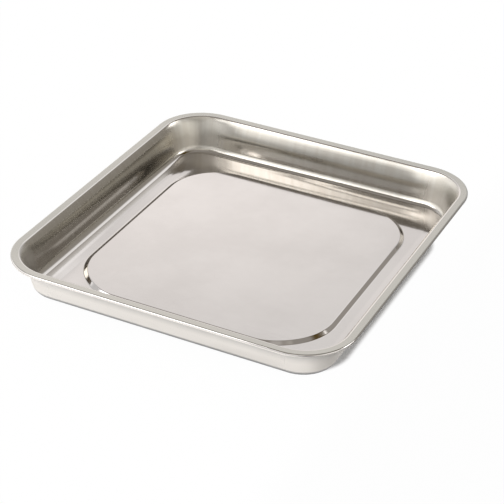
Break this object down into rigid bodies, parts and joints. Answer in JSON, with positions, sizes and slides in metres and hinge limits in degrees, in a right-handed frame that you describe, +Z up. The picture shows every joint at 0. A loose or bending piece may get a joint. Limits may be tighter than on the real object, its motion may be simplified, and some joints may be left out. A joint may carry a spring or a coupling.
{
  "type": "magnetic parts tray",
  "caption": "Shallow pressed-steel parts tray with round corners, flat rim and raised floor panel; rubber-booted ring magnets underneath hold small steel parts and grip steel surfaces.",
  "frame": {"origin": "on the surface the tray stands on, under the middle of the tray", "axes": "+X to the right, +Y to the back along the longer side, +Z up out of the well"},
  "size_m": [0.27, 0.29, 0.0379],
  "materials": {
    "pressed_steel": "polished",
    "zinc_steel": "satin",
    "cup_steel": "satin",
    "ferrite": "matte",
    "black_rubber": "matte"
  },
  "bodies": {
    "root": {"tray": "pressed_steel", "weld_studs": "zinc_steel", "washers": "zinc_steel", "nuts": "zinc_steel", "ring_magnet_front_left": "ferrite", "ring_magnet_front_right": "ferrite", "ring_magnet_back_left": "ferrite", "ring_magnet_back_right": "ferrite", "rubber_boot_front_left": "black_rubber", "rubber_boot_front_right": "black_rubber", "rubber_boot_back_left": "black_rubber", "rubber_boot_back_right": "black_rubber", "retainer_cup_front_left": "cup_steel", "retainer_cup_front_right": "cup_steel", "retainer_cup_back_left": "cup_steel", "retainer_cup_back_right": "cup_steel"}
  },
  "joints": []
}
